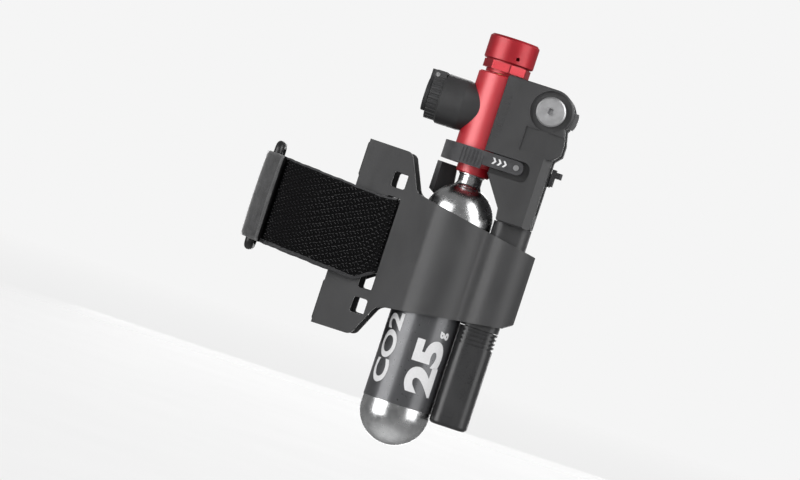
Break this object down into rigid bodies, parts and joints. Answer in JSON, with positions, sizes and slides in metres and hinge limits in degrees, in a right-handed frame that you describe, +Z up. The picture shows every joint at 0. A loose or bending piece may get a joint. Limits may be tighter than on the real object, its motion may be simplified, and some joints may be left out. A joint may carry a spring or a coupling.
{
  "type": "seatpost CO2 inflator and tyre repair kit",
  "caption": "CO2 inflator and folding tyre plug tool in a moulded holder that a hook-and-loop strap clamps to a bicycle seatpost.",
  "frame": {"origin": "on the seatpost's axis, level with the strap's middle", "axes": "+Z up the seatpost, +X from the seatpost to the cartridge, -Y the side with the pivot screw's head"},
  "size_m": [0.1005, 0.037, 0.1487],
  "materials": {
    "holder_body": "satin",
    "saddle_pads": "matte",
    "strap_webbing": "hook and loop",
    "strap_loop": "satin",
    "cartridge_shell": "bright drawn steel",
    "cartridge_film": "printed film",
    "cartridge_seal": "satin",
    "head_barrel": "anodised",
    "piercing_pin": "ground",
    "neck_seal": "matte",
    "valve_poppet": "satin",
    "regulator_spring": "drawn wire",
    "regulator_knob": "bead-blasted and anodised",
    "regulator_stem": "turned",
    "stem_o_ring": "matte",
    "chuck_body": "satin",
    "chuck_nozzle": "satin",
    "chuck_gasket": "matte",
    "valve_depressor": "satin",
    "dust_cover": "matte",
    "dust_cover_pin": "satin",
    "tool_shell_front": "satin",
    "tool_shell_rear": "satin",
    "body_screw_1": "satin",
    "body_screw_2": "satin",
    "body_screw_3": "satin",
    "pivot_screw": "turned",
    "pivot_nut": "satin",
    "pivot_spacers": "satin",
    "reamer": "hardened",
    "plug_fork": "satin",
    "knife_blade": "ground",
    "retainer_band": "matte",
    "retainer_peg": "satin",
    "plug_tube": "satin",
    "plug_tube_cap": "satin",
    "plug_insert": "matte",
    "tyre_plugs": "tacky cord"
  },
  "bodies": {
    "holder": {"holder_body": "holder_body", "saddle_pads": "saddle_pads", "strap_webbing": "strap_webbing", "strap_loop": "strap_loop"},
    "kit": {"head_barrel": "head_barrel", "piercing_pin": "piercing_pin", "neck_seal": "neck_seal", "valve_poppet": "valve_poppet", "regulator_spring": "regulator_spring", "chuck_body": "chuck_body", "chuck_nozzle": "chuck_nozzle", "chuck_gasket": "chuck_gasket", "valve_depressor": "valve_depressor", "dust_cover_pin": "dust_cover_pin", "tool_shell_front": "tool_shell_front", "tool_shell_rear": "tool_shell_rear", "body_screw_1": "body_screw_1", "body_screw_2": "body_screw_2", "body_screw_3": "body_screw_3", "pivot_screw": "pivot_screw", "pivot_nut": "pivot_nut", "pivot_spacers": "pivot_spacers", "retainer_band": "retainer_band", "retainer_peg": "retainer_peg", "plug_tube": "plug_tube", "plug_insert": "plug_insert", "tyre_plugs": "tyre_plugs"},
    "cartridge": {"cartridge_shell": "cartridge_shell", "cartridge_film": "cartridge_film", "cartridge_seal": "cartridge_seal"},
    "regulator": {"regulator_knob": "regulator_knob", "regulator_stem": "regulator_stem", "stem_o_ring": "stem_o_ring"},
    "cover": {"dust_cover": "dust_cover"},
    "reamer_arm": {"reamer": "reamer"},
    "fork_arm": {"plug_fork": "plug_fork"},
    "knife_arm": {"knife_blade": "knife_blade"},
    "tube_cap": {"plug_tube_cap": "plug_tube_cap"}
  },
  "joints": [
    {"name": "kit_lift", "type": "slide", "parent": "holder", "child": "kit", "axis": [0, 0, 1], "range_m": [0, 0.09]},
    {"name": "cartridge_screw", "type": "hinge", "parent": "kit", "child": "cartridge", "pos_m": [0.048, 0, 0], "axis": [0, 0, 1], "continuous": true},
    {"name": "regulator_turn", "type": "hinge", "parent": "kit", "child": "regulator", "pos_m": [0.048, 0, 0.07], "axis": [0, 0, 1], "range_deg": [0, 270]},
    {"name": "dust_cover_open", "type": "hinge", "parent": "kit", "child": "cover", "pos_m": [0.0261, 0, 0.0609], "axis": [0, 1, 0], "range_deg": [0, 110]},
    {"name": "reamer_swing", "type": "hinge", "parent": "kit", "child": "reamer_arm", "pos_m": [0.0682, 0, 0.0603], "axis": [0, -1, 0], "range_deg": [0, 180]},
    {"name": "plug_fork_swing", "type": "hinge", "parent": "kit", "child": "fork_arm", "pos_m": [0.0682, 0, 0.0603], "axis": [0, -1, 0], "range_deg": [0, 180]},
    {"name": "knife_swing", "type": "hinge", "parent": "kit", "child": "knife_arm", "pos_m": [0.0682, 0, 0.0603], "axis": [0, -1, 0], "range_deg": [0, 110]},
    {"name": "tube_cap_pull", "type": "slide", "parent": "kit", "child": "tube_cap", "axis": [0, 0, -1], "range_m": [0, 0.045]}
  ]
}
